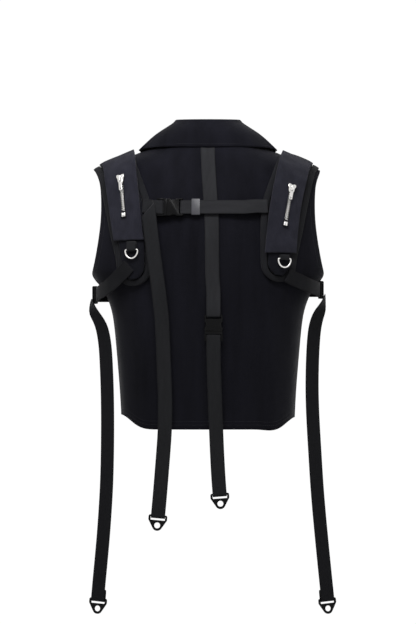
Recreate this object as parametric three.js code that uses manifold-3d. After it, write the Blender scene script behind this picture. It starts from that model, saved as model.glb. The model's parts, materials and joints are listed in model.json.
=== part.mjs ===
// Cropped sleeveless vest with a webbing harness sewn to its back.
// Millimetres. +X is the wearer's right, -Y the back, +Z up. The origin lies between the neck points of
// the shoulders, where the wearer's neck holds the vest up.
import * as THREE from 'three';
import { mergeVertices } from 'three/addons/utils/BufferGeometryUtils.js';
import Module from 'manifold-3d';

const wasm = await Module();
wasm.setup();

// ---------------------------------------------------------------- driving dimensions: the vest
const NECK_HALF = 75; // half the width between the neck points of the shoulder seams
const NECK_Z = 12;
const SHOULDER_HALF = 198; // centre line to shoulder tip
const SHOULDER_SLOPE = 0.43;
const NECK_ROUND = 50; // rounds the crest line over the neck
const SHOULDER_ROUND = 40; // height of the rounding over the shoulder crest
const CREST_SHARE = 0.52; // share of the depth reached by that rounding
const BLADE_DEPTH = 190; // below the crest, where the back reaches its full depth
const BACK_DEPTH = 114; // centre plane to the back at the shoulder blades
const FRONT_DEPTH = 104; // centre plane to the chest
const ARM_HALF = 204; // half width of the form at the armholes
const ARM_EDGE = 189; // half width of the armhole edges at mid height
const UNDERARM_Z = -243;
const WAIST_HALF = 162;
const HEM_HALF = 153;
const HEM_Z = -493;
const HEM_LIFT = 25; // the rounded hem corners rise this much to the side seams
const SECTION_POWER = 2.8; // squareness of the horizontal section
const CLOTH = 2.4; // cloth with its interlining
const LINING = 1;
const GAP = 0.4; // between pieces that touch
const V_BOTTOM_Z = -225; // where the lapels end
const FRONT_OVERLAP = 12; // each front passes the centre line by this much
const COLLAR_FOLD_Z = 51.6;
const COLLAR_FOLD_HALF = 57;
const COLLAR_EDGE_HALF = 114;
const COLLAR_EDGE_Z = 0;
const BUTTON_RADIUS = 9;
const BUTTON_THICK = 3;
const BUTTON_Z = [-262, -352];

// ---------------------------------------------------------------- driving dimensions: the harness
const WEB = 25; // webbing width
const WEB_THICK = 1.6;
const PAD_FRONT = -112; // pad ends, along the body from the shoulder crest
const PAD_ROUND = 32;
const PAD_THICK = 9;
const RIM_WIDTH = 11; // folded webbing that binds the pad edge
const RIM_THICK = 5;
const POCKET_THICK = 3.4;
const ZIP_LENGTH = 76;
const ZIP_WIDTH = 7;
const ZIP_TRAVEL = 46;
const RING_WIRE = 3.2;
const RING_WIDTH = 26;
const RING_DROP = 17;
const SLOT_ROOM = 0.6; // each side of webbing in a slot
const BUCKLE_WIDTH = WEB + 6.5;
const BUCKLE_THICK = 10;
const SOCKET_LENGTH = 28.5;
const BUCKLE_LENGTH = 46;
const LOOP_RADIUS = 3.2; // webbing centre line round a buckle's bar
const END_LOOP_RADIUS = 3.6; // and round an end ring's bar
const KEEPER_LENGTH = 15;
const END_RING_WIDTH = WEB + 8;
const END_RING_HEIGHT = 28;
const END_RING_THICK = 3;

// What differs from side to side: lengths along the body from the shoulder crest, and half widths.
const SIDES = {
  left: {
    sign: -1, padBack: 270, padShift: 3, pocket: [131, 187, 113, 166], pocketTop: 22, pocketBottom: 185, bow: 0,
    zip: { x: 150, s: 101, lean: 5 }, ring: { x: 134, s: 203 }, buckleZ: -257,
    web: [[134, -205], [144, -215], [154, -225]], webDrop: 18,
  },
  right: {
    sign: 1, padBack: 263, padShift: -3, pocket: [132, 184, 100, 155], pocketTop: 24, pocketBottom: 209, bow: 5,
    zip: { x: 141, s: 120, lean: -10 }, ring: { x: 134, s: 219 }, buckleZ: -248,
    web: [[135, -221], [145, -226], [155, -231]], webDrop: 10,
  },
};
const SIDE_BUCKLE_X = 199.5;
const CENTRE_BUCKLE = { x: 9.6, top: -291.4 };
const CROSS = { z: -104, y: 6.5 - BACK_DEPTH, tilt: 14.5, socketX: -43.5, keeperX: -21.5 };

// ---------------------------------------------------------------- materials
const paint = (color, roughness, metalness = 0) =>
  new THREE.MeshStandardMaterial({ color, roughness, metalness });
const cloth = () => paint(0x12131c, 0.85);
const liningCloth = () => paint(0x0c0d12, 0.5);
const pocketCloth = () => paint(0x1a1c2a, 0.85);
const webbing = () => paint(0x222326, 0.75);
const plastic = () => paint(0x0b0b0d, 0.25);
const nickel = () => paint(0xd8d8d6, 0.22, 1);

const vest = new THREE.Group();

function add(name, geometry, material, matrix = new THREE.Matrix4()) {
  const mesh = new THREE.Mesh(geometry, material);
  mesh.name = name;
  mesh.applyMatrix4(matrix);
  vest.add(mesh);
  return mesh;
}

// ---------------------------------------------------------------- curves and solids
const V = (x, y, z) => new THREE.Vector3(x, y, z);
const mix = THREE.MathUtils.lerp;
const clamp01 = (t) => Math.min(1, Math.max(0, t));
const ease = (t) => clamp01(t) ** 2 * (3 - 2 * clamp01(t));

// A smooth function through [place, value] pairs in rising order, flat beyond the ends.
function profile(pairs) {
  const slope = pairs.map((p, i) => {
    const a = pairs[Math.max(0, i - 1)];
    const b = pairs[Math.min(pairs.length - 1, i + 1)];
    return i === 0 || i === pairs.length - 1 ? 0 : (b[1] - a[1]) / (b[0] - a[0]);
  });
  return (at) => {
    if (at <= pairs[0][0]) return pairs[0][1];
    const k = pairs.findIndex((p) => p[0] >= at);
    if (k < 0) return pairs[pairs.length - 1][1];
    const [a, b] = [pairs[k - 1], pairs[k]];
    const w = b[0] - a[0];
    const t = (at - a[0]) / w;
    return (
      (2 * t ** 3 - 3 * t ** 2 + 1) * a[1] + (t ** 3 - 2 * t ** 2 + t) * w * slope[k - 1] +
      (3 * t ** 2 - 2 * t ** 3) * b[1] + (t ** 3 - t ** 2) * w * slope[k]
    );
  };
}

function closedGeometry(points, triangles) {
  const geometry = new THREE.BufferGeometry().setFromPoints(points);
  let volume = 0;
  for (const [a, b, c] of triangles) volume += points[a].dot(points[b].clone().cross(points[c]));
  geometry.setIndex(triangles.flatMap(([a, b, c]) => (volume > 0 ? [a, b, c] : [a, c, b])));
  return geometry;
}

// A sheet of real thickness: at(i, j, layer) gives the outer (0) and inner (1) points of a grid.
function sheet(columns, rows, at) {
  const points = [];
  const index = (i, j, layer) => 2 * (i * (rows + 1) + j) + layer;
  for (let i = 0; i <= columns; i++)
    for (let j = 0; j <= rows; j++) points.push(at(i, j, 0), at(i, j, 1));
  const triangles = [];
  const quad = (a, b, c, d) => triangles.push([a, b, c], [a, c, d]);
  for (let i = 0; i < columns; i++)
    for (let j = 0; j < rows; j++) {
      quad(index(i, j, 0), index(i + 1, j, 0), index(i + 1, j + 1, 0), index(i, j + 1, 0));
      quad(index(i, j, 1), index(i, j + 1, 1), index(i + 1, j + 1, 1), index(i + 1, j, 1));
    }
  for (let i = 0; i < columns; i++) {
    quad(index(i, 0, 1), index(i + 1, 0, 1), index(i + 1, 0, 0), index(i, 0, 0));
    quad(index(i, rows, 0), index(i + 1, rows, 0), index(i + 1, rows, 1), index(i, rows, 1));
  }
  for (let j = 0; j < rows; j++) {
    quad(index(0, j, 0), index(0, j + 1, 0), index(0, j + 1, 1), index(0, j, 1));
    quad(index(columns, j, 1), index(columns, j + 1, 1), index(columns, j + 1, 0), index(columns, j, 0));
  }
  return closedGeometry(points, triangles);
}

// A solid through rings of equally many points, capped at both ends or joined end to end.
function loft(rings, joined = false) {
  const n = rings[0].length;
  const triangles = [];
  const last = joined ? rings.length : rings.length - 1;
  for (let r = 0; r < last; r++)
    for (let k = 0; k < n; k++) {
      const [a, b] = [r * n + k, r * n + ((k + 1) % n)];
      const [c, d] = [((r + 1) % rings.length) * n + ((k + 1) % n), ((r + 1) % rings.length) * n + k];
      // opposite faces of a flat band split along the same diagonal
      if (2 * k < n) triangles.push([a, b, c], [a, c, d]);
      else triangles.push([a, b, d], [b, c, d]);
    }
  if (!joined)
    for (let k = 1; k < n - 1; k++) {
      triangles.push([0, k + 1, k]);
      const end = (rings.length - 1) * n;
      triangles.push([end, end + k, end + k + 1]);
    }
  return closedGeometry(rings.flat(), triangles);
}

// Flat webbing along a path. Each station is [point, face normal]; skew slants an end cut.
function strap(stations, { width = WEB, thick = WEB_THICK, skewStart = 0, skewEnd = 0 } = {}) {
  return loft(stations.map(([p, n], i) => {
    const before = stations[Math.max(0, i - 1)][0];
    const after = stations[Math.min(stations.length - 1, i + 1)][0];
    const along = after.clone().sub(before).normalize();
    const across = along.clone().cross(n).normalize();
    const up = across.clone().cross(along).normalize();
    const skew = i === 0 ? skewStart : i === stations.length - 1 ? skewEnd : 0;
    const corner = (a, b) =>
      p.clone().addScaledVector(across, (a * width) / 2).addScaledVector(up, (b * thick) / 2)
        .addScaledVector(along, a * skew);
    return [corner(-1, -1), corner(1, -1), corner(1, 1), corner(-1, 1)];
  }));
}

// Even steps along a smooth curve through stations.
function smooth(stations, steps) {
  const path = new THREE.CatmullRomCurve3(stations.map((s) => s[0]));
  const normals = new THREE.CatmullRomCurve3(stations.map((s) => s[1]));
  return Array.from({ length: steps + 1 }, (_, i) => {
    const t = path.getUtoTmapping(i / steps);
    return [path.getPoint(t), normals.getPoint(t).normalize()];
  });
}

function toSolid(geometry) {
  const g = geometry.index ? geometry.toNonIndexed() : geometry.clone();
  g.deleteAttribute('normal');
  g.deleteAttribute('uv');
  const merged = mergeVertices(g, 1e-4);
  return new wasm.Manifold(new wasm.Mesh({
    numProp: 3, vertProperties: merged.attributes.position.array, triVerts: new Uint32Array(merged.index.array),
  }));
}

function toGeometry(solid) {
  const mesh = solid.getMesh();
  return new THREE.BufferGeometry()
    .setAttribute('position', new THREE.BufferAttribute(mesh.vertProperties, 3))
    .setIndex(new THREE.BufferAttribute(mesh.triVerts, 1));
}

const block = (x0, x1, y0, y1, z0, z1) =>
  toSolid(new THREE.BoxGeometry(x1 - x0, y1 - y0, z1 - z0)
    .translate((x0 + x1) / 2, (y0 + y1) / 2, (z0 + z1) / 2));

function plate(outline, thick, holes = [], bevel = 0) {
  const shape = new THREE.Shape(outline.map(([x, y]) => new THREE.Vector2(x, y)));
  for (const hole of holes) shape.holes.push(new THREE.Path(hole.map(([x, y]) => new THREE.Vector2(x, y))));
  const options = {
    depth: thick - 2 * bevel, bevelEnabled: bevel > 0, bevelSize: bevel, bevelThickness: bevel,
    bevelOffset: -bevel, bevelSegments: 1,
  };
  return new THREE.ExtrudeGeometry(shape, options).translate(0, 0, bevel - thick / 2);
}

const arc = (x, y, rx, ry, from, to, steps) =>
  Array.from({ length: steps + 1 }, (_, i) => {
    const a = THREE.MathUtils.degToRad(mix(from, to, i / steps));
    return [x + rx * Math.cos(a), y + ry * Math.sin(a)];
  });

// ---------------------------------------------------------------- the body's surface
// The form is described by x and the length s along it from the shoulder crest: s > 0 runs down the
// back and s < 0 down the front.
const halfWidth = profile([
  [HEM_Z, HEM_HALF], [-350, WAIST_HALF], [-275, WAIST_HALF + 9], [-258, WAIST_HALF + 18],
  [UNDERARM_Z, ARM_HALF - 17], [-230, ARM_HALF - 12], [-208, ARM_HALF - 2], [-60, ARM_HALF],
]);
const armEdge = profile([
  [-240, ARM_HALF - 4], [-215, ARM_EDGE + 5], [-165, ARM_EDGE], [-110, ARM_EDGE - 1], [-62, ARM_EDGE + 1],
  [-37, SHOULDER_HALF],
]);
const backDepth = profile([
  [HEM_Z, BACK_DEPTH - 5], [-400, BACK_DEPTH - 5], [-250, BACK_DEPTH - 1], [-150, BACK_DEPTH],
]);
const frontDepth = profile([
  [HEM_Z, FRONT_DEPTH - 6], [-330, FRONT_DEPTH - 6], [-160, FRONT_DEPTH], [-40, FRONT_DEPTH - 12],
]);

const crestDrop = Math.hypot(NECK_HALF, NECK_ROUND);
const crest = (x) => NECK_Z - SHOULDER_SLOPE * (Math.hypot(x, NECK_ROUND) - crestDrop);
const CREST_LENGTH = 70;
const MID_SHOULDER = 150;

function zAt(x, s) {
  const length = Math.abs(s);
  const turn = (Math.min(1, length / CREST_LENGTH) * Math.PI) / 2;
  const drop = SHOULDER_ROUND * (1 - Math.cos(turn)) + Math.max(0, length - CREST_LENGTH) * 0.93;
  const level = 0.8 * (crest(x) - crest(MID_SHOULDER)) * ease(length / 200);
  return crest(x) - drop - level;
}

function depthShare(drop) {
  const round = Math.sqrt(1 - (1 - clamp01(drop / SHOULDER_ROUND)) ** 2);
  const blade = 1 - (1 - clamp01(drop / BLADE_DEPTH)) ** 1.4;
  return CREST_SHARE * round + (1 - CREST_SHARE) * blade;
}

function onForm(x, s) {
  const z = zAt(x, s);
  const share = Math.max(0, 1 - Math.abs(x / halfWidth(z)) ** SECTION_POWER) ** (1 / SECTION_POWER);
  const depth = s > 0 ? -backDepth(z) : frontDepth(z);
  return V(x, depth * share * depthShare(crest(x) - z), z);
}

// The length s at which the form reaches a height, on the back, or on the front with a minus.
function reach(x, z) {
  let [low, high] = [0, 900];
  for (let k = 0; k < 40; k++) {
    const middle = (low + high) / 2;
    if (zAt(x, middle) > z) low = middle;
    else high = middle;
  }
  return (low + high) / 2;
}

function normalOf(point, u, v, outside) {
  const e = 0.01;
  const du = point(u + e, v).sub(point(u - e, v));
  const dv = point(u, v + e).sub(point(u, v - e));
  const n = du.cross(dv).normalize();
  return n.dot(outside) < 0 ? n.negate() : n;
}

function formNormal(x, s) {
  const p = onForm(x, s);
  return normalOf(onForm, x, s, V(p.x * 0.2, p.y, 60 - Math.abs(s)));
}

const lifted = (x, s, lift) => onForm(x, s).addScaledVector(formNormal(x, s), lift);

// The x on the form whose point, lifted off it, stands at a given x as seen square from behind.
function under(x, s, lift) {
  let base = Math.abs(x);
  for (let k = 0; k < 12; k++) base -= 0.7 * (lifted(base, s, lift).x - Math.abs(x));
  return base;
}

// A right-handed frame on the form: X across, Y up along it, Z away from it.
function frameOn(x, s, lift, leanDegrees = 0) {
  const z = formNormal(x, s);
  const down = onForm(x, s + 0.5).sub(onForm(x, s - 0.5)).normalize();
  const y = down.negate();
  const across = y.clone().cross(z).normalize();
  return new THREE.Matrix4()
    .makeBasis(across, z.clone().cross(across), z)
    .setPosition(lifted(x, s, lift))
    .multiply(new THREE.Matrix4().makeRotationZ(THREE.MathUtils.degToRad(leanDegrees)));
}

const place = (x, y, z, rx = 0, ry = 0, rz = 0) =>
  new THREE.Matrix4().makeRotationFromEuler(new THREE.Euler(
    THREE.MathUtils.degToRad(rx), THREE.MathUtils.degToRad(ry), THREE.MathUtils.degToRad(rz), 'ZYX',
  )).setPosition(x, y, z);

// ---------------------------------------------------------------- vest panels
const SECTION_ROWS = [
  0, 9, 20, 33, 48, 66, 90, 116, 144, 174, 202, 220, 232, 242, 254, 268, 286, 312, 345, 385, 425, 465, 505,
].map((s) => s / 505);
const hemZ = (x) => HEM_Z + HEM_LIFT * ease((Math.abs(x) - 105) / (HEM_HALF - 105)) ** 1.5;
const neckS = (x) => (Math.abs(x) < NECK_HALF ? reach(x, NECK_Z - 7 * (1 - (x / NECK_HALF) ** 2)) : 0);

// Points of a panel: w runs across from the inner edge to the armhole or side seam, t from top to hem.
function panelPoint(innerEdge, back) {
  const along = (x, t) => mix(back ? neckS(x) : 0, reach(x, hemZ(x)), t);
  return (w, t) => {
    let outer = ARM_EDGE;
    for (let k = 0; k < 10; k++) {
      const z = zAt(outer, along(outer, t));
      outer = Math.min(armEdge(z), halfWidth(z));
    }
    const inner = innerEdge(along(outer, t));
    const x = inner + (outer - inner) * Math.sin((w * Math.PI) / 2);
    const s = along(x, t);
    const p = onForm(x, back ? s + 1e-6 : -s - 1e-6);
    p.y += back ? -GAP / 2 : GAP / 2;
    return p;
  };
}

function panelNormal(point, w, t) {
  const e = 0.002;
  const [w0, w1] = [Math.max(-1, w - e), Math.min(1, w + e)];
  const [t0, t1] = [Math.max(0, t - e), Math.min(1, t + e)];
  const n = point(w1, t).sub(point(w0, t)).cross(point(w, t1).sub(point(w, t0))).normalize();
  const p = point(w, t);
  return n.dot(V(p.x * 0.6, p.y, 50 - 500 * t)) < 0 ? n.negate() : n;
}

const centreBack = panelPoint(() => 0, true);
const backPoint = (w, t) => {
  const p = centreBack(Math.abs(w), t);
  p.x *= Math.sign(w) || 1;
  return p;
};
const frontEdge = (s) => {
  const z = zAt(0, s) - crest(0) + NECK_Z;
  return mix(-FRONT_OVERLAP, NECK_HALF, clamp01((z - V_BOTTOM_Z) / (NECK_Z - V_BOTTOM_Z)));
};
const frontPoint = panelPoint(frontEdge, false);

function panel(point, columns, acrossAt, lift, thick, trim, mirror) {
  const rows = SECTION_ROWS.length - 1 - 2 * trim;
  return sheet(columns - 2 * trim, rows, (i, j, layer) => {
    const [w, t] = [acrossAt(i + trim), SECTION_ROWS[j + trim]];
    const base = point(w, t);
    const p = base.clone().addScaledVector(panelNormal(point, w, t), lift(base) - layer * thick);
    if (mirror) p.x = -p.x;
    return p;
  });
}

const BACK_COLUMNS = 20;
const FRONT_COLUMNS = 11;
const backAcross = (i) => (2 * i) / BACK_COLUMNS - 1;
const frontAcross = (i) => i / FRONT_COLUMNS;
const liningLift = -CLOTH - 0.6;
// The wearer's left front lies under the right one near the centre line.
const sunk = (p) => -(CLOTH + LINING + 1.4) * ease((45 - p.x) / 40);

add('back_panel', panel(backPoint, BACK_COLUMNS, backAcross, () => 0, CLOTH, 0, false), cloth());
add('back_lining',
  panel(backPoint, BACK_COLUMNS, backAcross, () => liningLift, LINING, 1, false), liningCloth());
for (const [side, { sign }] of Object.entries(SIDES)) {
  const sink = sign < 0 ? sunk : () => 0;
  add(`front_panel_${side}`,
    panel(frontPoint, FRONT_COLUMNS, frontAcross, sink, CLOTH, 0, sign < 0), cloth());
  add(`front_lining_${side}`,
    panel(frontPoint, FRONT_COLUMNS, frontAcross, (p) => sink(p) + liningLift, LINING, 1, sign < 0),
    liningCloth());
}

// Lapels: turned back over the fronts from the fold line.
const LAPEL_CLEAR = 1.5; // each lapel stays this far from the centre line
function lapelGeometry(sign) {
  const top = -45;
  const fold = (t) => frontEdge(reach(0, mix(top, V_BOTTOM_Z, t) + crest(0) - NECK_Z));
  const width = profile([[0, 26], [0.13, 62], [0.22, 66], [0.6, 38], [1, 3]]);
  const rise = profile([[0, 0], [0.16, 14], [1, 0]]);
  return sheet(5, 14, (i, j, layer) => {
    const t = j / 14;
    const x = Math.max(fold(t) + 3, LAPEL_CLEAR) + width(t) * (i / 5);
    const z = mix(top, V_BOTTOM_Z + 4, t) + rise(t) * (i / 5);
    const p = lifted(x, -reach(x, z), 1.2 + 3 * Math.sin((Math.PI * i) / 10) * (1 - t) + (1 - layer) * 1.8);
    p.x *= sign;
    return p;
  });
}
for (const [side, { sign }] of Object.entries(SIDES)) add(`lapel_${side}`, lapelGeometry(sign), cloth());

// Collar: cloth that rises from the neck seam, folds over and falls to its outer edge.
const COLLAR_SIDE = 0.6; // share of each half that lies behind the shoulder crest
const COLLAR_FRONT_REACH = 58;
const COLLAR_FOLD_RADIUS = 4;
const COLLAR_THICK = 1.8;
const COLLAR_COLUMNS = 26;
const COLLAR_ROWS = 10;

// a runs from 0 at the centre of the back to 1 at the front end.
function collarLine(a) {
  const back = Math.min(1, a / COLLAR_SIDE);
  const front = clamp01((a - COLLAR_SIDE) / (1 - COLLAR_SIDE));
  const sin = Math.sin((back * Math.PI) / 2);
  const frontS = front * COLLAR_FRONT_REACH;
  const neckX = front > 0 ? frontEdge(frontS) : NECK_HALF * sin;
  const neckAt = front > 0 ? -frontS - 0.01 : neckS(neckX) + 0.01;
  const seam = lifted(neckX, neckAt, 1);
  const out = V(sin, -Math.cos((back * Math.PI) / 2), 0).normalize();
  const up = V(0, 0, 1).lerp(formNormal(neckX, neckAt), front).normalize();
  const rise = (COLLAR_FOLD_Z - NECK_Z + 7 * (1 - sin ** 2) - 10) * (1 - front) ** 1.6 + 10;
  const lean = (NECK_HALF - COLLAR_FOLD_HALF) * (1 - front) ** 1.4 * mix(0.6, 1, sin);
  const fold = seam.clone().addScaledVector(out, -lean).addScaledVector(up, rise);
  const beside = (side) =>
    fold.clone().addScaledVector(out, side * COLLAR_FOLD_RADIUS).addScaledVector(up, -COLLAR_FOLD_RADIUS - 1);
  const edgeX = COLLAR_EDGE_HALF * sin - 22 * front;
  const edgeS = front > 0 ? -(6 + front * 66) : reach(edgeX, Math.min(COLLAR_EDGE_Z, crest(edgeX) - 1));
  const edge = lifted(edgeX, edgeS, 5.4 + 1.4 * front);
  const over = lifted((neckX + edgeX) / 2, (-frontS + edgeS) / 2, 8);
  const middle = beside(1).lerp(edge, 0.5).addScaledVector(out, 4).add(V(0, 0, 3)).lerp(over, ease(front * 1.4));
  return new THREE.CatmullRomCurve3([seam, beside(-1), fold, beside(1), middle, edge]);
}

const collarPoints = Array.from({ length: COLLAR_COLUMNS + 1 }, (_, i) => {
  const a = (2 * i) / COLLAR_COLUMNS - 1;
  const line = collarLine(Math.abs(a));
  return Array.from({ length: COLLAR_ROWS + 1 }, (_, j) => {
    const p = line.getPoint(j / COLLAR_ROWS);
    return V(p.x * (Math.sign(a) || 1), p.y, p.z);
  });
});
const collarGeometry = () => sheet(COLLAR_COLUMNS, COLLAR_ROWS, (i, j, layer) => {
  const at = (c, r) => collarPoints[Math.min(Math.max(c, 0), COLLAR_COLUMNS)][Math.min(Math.max(r, 0), COLLAR_ROWS)];
  const round = at(i + 1, j).clone().sub(at(i - 1, j));
  const down = at(i, j + 1).clone().sub(at(i, j - 1));
  const thin = 1 - 0.4 * Math.abs((2 * i) / COLLAR_COLUMNS - 1) ** 4;
  return at(i, j).clone().addScaledVector(round.cross(down).normalize(), layer * COLLAR_THICK * thin);
});
add('collar', collarGeometry(), cloth());

BUTTON_Z.forEach((z, i) => {
  const geometry = new THREE.CylinderGeometry(BUTTON_RADIUS, BUTTON_RADIUS, BUTTON_THICK, 20);
  const face = onForm(0.01, -reach(0.01, z));
  add(`front_button_${i + 1}`, geometry, plastic(), place(0, face.y + 2 * GAP + BUTTON_THICK / 2, z));
});

// ---------------------------------------------------------------- shoulder pads and what they carry
function padHalf(side) {
  const inner = profile([[PAD_FRONT, 126], [0, 133], [73, 114], [114, 100], [150, 95], [240, 95]]);
  const outer = profile([[PAD_FRONT, 176], [0, SHOULDER_HALF], [45, 188], [167, 167], [240, 155]]);
  return { inner: (s) => inner(s) + side.padShift, outer: (s) => outer(s) + side.padShift };
}

// The pad's outline, pulled in by inset: down the inner edge, round the bottom, up and round the front.
function padOutline(side, inset) {
  const { inner, outer } = padHalf(side);
  const [s0, s1] = [PAD_FRONT + PAD_ROUND, side.padBack - PAD_ROUND];
  const points = [];
  const steps = 22;
  for (let i = 0; i <= steps; i++) points.push([inner(mix(s0, s1, i / steps)) + inset, mix(s0, s1, i / steps)]);
  const round = (s, sign) => {
    const middle = (inner(s) + outer(s)) / 2;
    const half = (outer(s) - inner(s)) / 2 - inset;
    for (let i = 1; i < 10; i++) {
      const a = (Math.PI * i) / 10;
      points.push([middle - sign * half * Math.cos(a), s + sign * (PAD_ROUND - inset) * Math.sin(a)]);
    }
  };
  round(s1, 1);
  for (let i = 0; i <= steps; i++) points.push([outer(mix(s1, s0, i / steps)) - inset, mix(s1, s0, i / steps)]);
  round(s0, -1);
  return points;
}

function rimGeometry(side) {
  const edge = padOutline(side, 0);
  const inside = padOutline(side, RIM_WIDTH);
  const rings = edge.map(([x, s], i) => {
    const [xi, si] = inside[i];
    return [
      lifted(x, s, 0.6), lifted(x, s, 0.6 + RIM_THICK * 0.7), lifted((x + xi) / 2, (s + si) / 2, 0.6 + RIM_THICK),
      lifted(xi, si, 0.6 + RIM_THICK), lifted(xi, si, 0.6),
    ];
  });
  return loft(rings.map((ring) => ring.map((p) => V(p.x * side.sign, p.y, p.z))), true);
}

function padGeometry(side) {
  const { inner, outer } = padHalf(side);
  const inset = RIM_WIDTH + 1;
  const [s0, s1] = [PAD_FRONT + PAD_ROUND, side.padBack - PAD_ROUND];
  const round = PAD_ROUND - inset;
  const rows = 34;
  return sheet(6, rows, (i, j, layer) => {
    const s = mix(s0 - 0.94 * round, s1 + 0.94 * round, j / rows);
    const at = Math.min(s1, Math.max(s0, s));
    const shrink = Math.sqrt(1 - ((s - at) / round) ** 2);
    const middle = (inner(at) + outer(at)) / 2;
    const half = ((outer(at) - inner(at)) / 2 - inset) * shrink;
    const u = i / 3 - 1;
    const crown = 1 - 0.2 * u ** 4;
    const p = lifted(middle + half * u, s, 0.6 + (1 - layer) * PAD_THICK * crown);
    p.x *= side.sign;
    return p;
  });
}

function pocketGeometry(side) {
  const [topIn, topOut, bottomIn, bottomOut] = side.pocket;
  const base = PAD_THICK + 1.1;
  return sheet(6, 14, (i, j, layer) => {
    const [u, t] = [i / 6, j / 14];
    const s = mix(side.pocketTop, side.pocketBottom, t) + 3 * (u - 0.5) * (1 - 2 * t);
    const seen = mix(mix(topIn, topOut, u), mix(bottomIn, bottomOut, u), t) - side.bow * Math.sin(Math.PI * t);
    const x = under(seen, s, base + POCKET_THICK);
    const p = lifted(x, s, base + (1 - layer) * POCKET_THICK);
    p.x *= side.sign;
    return p;
  });
}

// Zip parts, in a frame with Y up the zip and Z off the cloth.
function chainGeometry() {
  const half = ZIP_LENGTH / 2;
  const tape = block(-ZIP_WIDTH / 2, ZIP_WIDTH / 2, -half + 2, half - 4, 0, 1.7);
  const stop = block(-4.5, 4.5, -half - 4, -half + 4.5, 0, 3.2);
  return toGeometry(tape.add(stop));
}

function sliderGeometry() {
  const body = plate([
    [-3.6, -8], [3.6, -8], [5.2, -4], [5.6, 1], [7.4, 4], [7, 7.6], [4, 8.6], [0, 6.8], [-4, 8.6], [-7, 7.6],
    [-7.4, 4], [-5.6, 1], [-5.2, -4],
  ], 3, [], 0.5).translate(0, 0, 3.6);
  const bridge = toSolid(new THREE.BoxGeometry(2, 9, 3.6).translate(0, 0.5, 6.6));
  const eye = block(-2, 2, -1.5, 2.5, 4.9, 7.5);
  return toGeometry(toSolid(body).add(bridge.subtract(eye)));
}

function pullGeometry() {
  const arm = (x) => block(x - 0.8, x + 0.8, -7, 0.9, -0.7, 0.7);
  const cross = block(-2.9, 2.9, -0.6, 0.6, -0.6, 0.6);
  const tag = toSolid(plate([[-2.9, -6.6], [-3, -20], [-2, -22], [2, -22], [3, -20], [2.9, -6.6]], 1.4, [
    arc(0, -18.4, 1.3, 1.3, 360, 36, 9),
  ]));
  return toGeometry(cross.add(arm(-2.1)).add(arm(2.1)).add(tag));
}

const ZIP_SLIDER_Y = ZIP_LENGTH / 2 - 10;

// D-ring: bar across the top at the frame's origin, half round below it.
function ringGeometry() {
  const outer = RING_WIDTH / 2;
  const wire = RING_WIRE;
  const shape = (r, top) => [...arc(0, -2.2, r, RING_DROP - 2.2 - (outer - r), 180, 360, 16), [r, top], [-r, top]];
  return plate(shape(outer, wire / 2), wire, [shape(outer - wire, -wire / 2).reverse()], 0.9);
}

// A band that comes down, turns round a bar at the origin and goes back up; local frame, Y up, Z out.
function turnRound(radius, upIn, upOut, spread = 0) {
  const stations = [[V(0, upIn, -radius + spread), V(0, 0, -1)]];
  for (let a = -90; a <= 90; a += 22.5) {
    const angle = THREE.MathUtils.degToRad(a);
    const n = V(0, -Math.cos(angle), Math.sin(angle));
    stations.push([n.clone().multiplyScalar(radius), n]);
  }
  stations.push([V(0, upOut, radius), V(0, 0, 1)]);
  return stations;
}
const moved = (stations, matrix) => {
  const turn = new THREE.Matrix3().setFromMatrix4(matrix);
  return stations.map(([p, n]) => [p.clone().applyMatrix4(matrix), n.clone().applyMatrix3(turn).normalize()]);
};

for (const [side, spec] of Object.entries(SIDES)) {
  const { sign } = spec;
  add(`shoulder_pad_${side}`, padGeometry(spec), cloth());
  add(`pad_binding_${side}`, rimGeometry(spec), webbing());
  add(`pocket_${side}`, pocketGeometry(spec), pocketCloth());

  const zipLift = PAD_THICK + POCKET_THICK + 1.6;
  const zip = frameOn(sign * under(spec.zip.x, spec.zip.s, zipLift), spec.zip.s, zipLift, spec.zip.lean);
  add(`zip_chain_${side}`, chainGeometry(), nickel(), zip);
  const slider = zip.clone().multiply(place(0, ZIP_SLIDER_Y, 0));
  add(`zip_slider_${side}`, sliderGeometry(), nickel(), slider);
  add(`zip_pull_${side}`, pullGeometry(), nickel(), slider.clone().multiply(place(0, 0.5, 6.3)));

  const ringLift = PAD_THICK + 4.9;
  const ring = frameOn(sign * under(spec.ring.x, spec.ring.s, ringLift), spec.ring.s, ringLift);
  add(`d_ring_${side}`, ringGeometry(), nickel(), ring);
  const tabLength = spec.ring.s - spec.pocketBottom - 3;
  const tab = moved(turnRound(RING_WIRE / 2 + 0.9, tabLength, tabLength, -1), ring);
  add(`ring_tab_${side}`, strap(tab, { width: RING_WIDTH - 2 * RING_WIRE - 2.6, thick: 1 }), webbing());
}

// ---------------------------------------------------------------- buckles
// Local frame: X across, Y from the plug's bar end (0 at the socket's bar end, falling), Z out.
const socketOutline = () => {
  const half = BUCKLE_WIDTH / 2;
  const waist = arc(half + 5.4, -17.2, 8.6, 6.6, 110, 250, 7);
  const right = [[half - 1, 0], [half, -1.2], [half, -9.6], ...waist.filter(([x]) => x < half),
    [half, -24.6], [half - 0.6, -SOCKET_LENGTH]];
  return [...right, ...right.map(([x, y]) => [-x, y]).reverse()];
};
const WEB_SLOT = WEB / 2 + SLOT_ROOM;
const BAR = { y: 1.4, half: 1.1, deep: 1.5 }; // round bar that webbing turns on
const CAVITY = BUCKLE_WIDTH / 2 - 3.05;
const PLATE = 2.2;

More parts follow.
